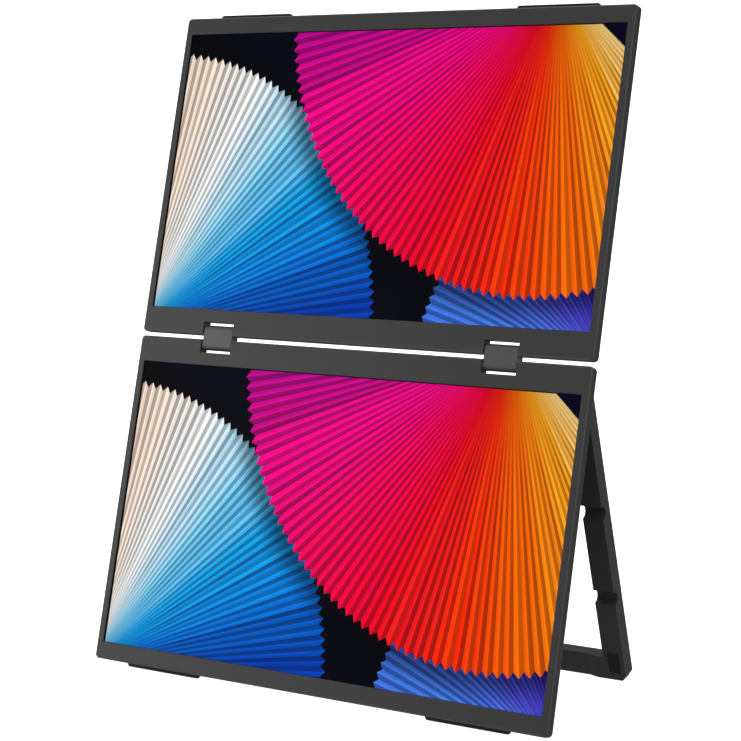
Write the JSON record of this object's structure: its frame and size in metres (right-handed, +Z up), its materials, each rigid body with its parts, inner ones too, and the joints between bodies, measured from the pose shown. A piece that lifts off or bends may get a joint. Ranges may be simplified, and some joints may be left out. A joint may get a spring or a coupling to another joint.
{
  "type": "dual portable monitor",
  "caption": "Folding pair of framed portable screens stacked on double-shaft hinges, with a U-shaped kickstand swinging out behind the lower screen.",
  "frame": {"origin": "on the desk, under the middle of the object's bounding box", "axes": "+Z up, +X to the viewer's right, the viewer is at -Y and the screens face -Y, leaning back"},
  "size_m": [0.3558, 0.1787, 0.4221],
  "materials": {
    "bezel_plastic": "satin",
    "case_plastic": "matte",
    "hinge_plastic": "satin",
    "stand_plastic": "satin",
    "button_plastic": "satin",
    "switch_plastic": "matte",
    "rubber": "matte",
    "display_glass": "gloss",
    "backlight": "satin",
    "circuit_board": "satin",
    "bright_steel": "satin",
    "black_steel": "satin"
  },
  "bodies": {
    "lower_display": {"lower_bezel": "bezel_plastic", "lower_screen": "display_glass", "lower_backlight": "backlight", "lower_rear_cover": "case_plastic", "lower_case_screws": "black_steel", "lower_driver_board": "circuit_board", "lower_hinge_brackets": "bright_steel", "lower_bracket_screws": "bright_steel", "lower_hinge_shafts": "bright_steel", "lower_edge_feet": "rubber", "electronics_housing": "case_plastic", "housing_screws": "black_steel", "input_board": "circuit_board", "control_board": "circuit_board", "board_screws": "bright_steel", "usb_c_sockets": "bright_steel", "mini_hdmi_socket": "bright_steel", "button_switches": "switch_plastic", "stand_pins": "bright_steel", "stand_washers": "switch_plastic"},
    "hinge_links": {"hinge_front_shells": "hinge_plastic", "hinge_rear_shells": "hinge_plastic", "hinge_friction_clips": "bright_steel", "hinge_shell_screws": "black_steel"},
    "upper_display": {"upper_bezel": "bezel_plastic", "upper_screen": "display_glass", "upper_backlight": "backlight", "upper_rear_cover": "case_plastic", "upper_case_screws": "black_steel", "upper_driver_board": "circuit_board", "upper_hinge_brackets": "bright_steel", "upper_bracket_screws": "bright_steel", "upper_hinge_shafts": "bright_steel", "upper_edge_feet": "rubber"},
    "stand": {"stand_frame": "stand_plastic", "stand_pads": "rubber", "stand_foot_strip": "rubber"},
    "power_button_body": {"power_button": "button_plastic"},
    "up_button_body": {"up_button": "button_plastic"},
    "down_button_body": {"down_button": "button_plastic"}
  },
  "joints": [
    {"name": "lower_hinge", "type": "hinge", "parent": "lower_display", "child": "hinge_links", "pos_m": [0, -0.00167, 0.20621], "axis": [1, 0, 0], "range_deg": [-67.5, 90]},
    {"name": "upper_hinge", "type": "hinge", "parent": "hinge_links", "child": "upper_display", "pos_m": [0, 0.00238, 0.216], "axis": [1, 0, 0], "range_deg": [-67.5, 90]},
    {"name": "stand_pivot", "type": "hinge", "parent": "lower_display", "child": "stand", "pos_m": [0, -0.00511, 0.17516], "axis": [1, 0, 0], "range_deg": [-30.5, 0]},
    {"name": "power_button_press", "type": "slide", "parent": "lower_display", "child": "power_button_body", "axis": [1, 0, 0], "range_m": [0, 0.0005], "stiffness_N_per_m": 1500, "springref_m": -0.0002},
    {"name": "up_button_press", "type": "slide", "parent": "lower_display", "child": "up_button_body", "axis": [1, 0, 0], "range_m": [0, 0.0005], "stiffness_N_per_m": 1500, "springref_m": -0.0002},
    {"name": "down_button_press", "type": "slide", "parent": "lower_display", "child": "down_button_body", "axis": [1, 0, 0], "range_m": [0, 0.0005], "stiffness_N_per_m": 1500, "springref_m": -0.0002}
  ]
}
